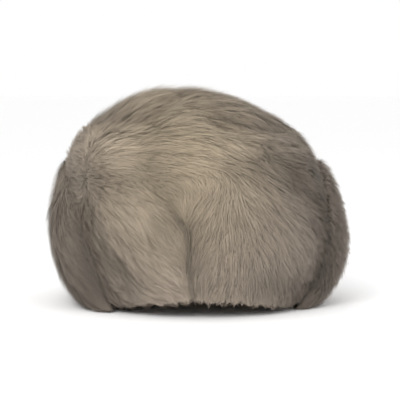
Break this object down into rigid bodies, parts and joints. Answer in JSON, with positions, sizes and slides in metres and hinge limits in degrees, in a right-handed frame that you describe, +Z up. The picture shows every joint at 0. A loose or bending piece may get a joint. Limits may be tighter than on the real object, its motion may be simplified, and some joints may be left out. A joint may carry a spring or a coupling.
{
  "type": "fur cap",
  "caption": "Round soft cap of long-haired fur, slumped at the front, with a broad cuff turned up round its sides and back, open below for the head.",
  "frame": {"origin": "middle of the cap's box, on the surface that the cap stands on", "axes": "+Z up to the crown, -Y to the front over the forehead, +X to the right as seen from the front"},
  "size_m": [0.262, 0.2788, 0.1835],
  "materials": {
    "crown_fur": "matt fur",
    "left_fur": "matt fur",
    "right_fur": "matt fur",
    "cuff_fur": "matt fur"
  },
  "bodies": {
    "root": {"crown": "crown_fur", "wall_pelt_left": "left_fur", "wall_pelt_right": "right_fur", "back_cuff": "cuff_fur"}
  },
  "joints": []
}
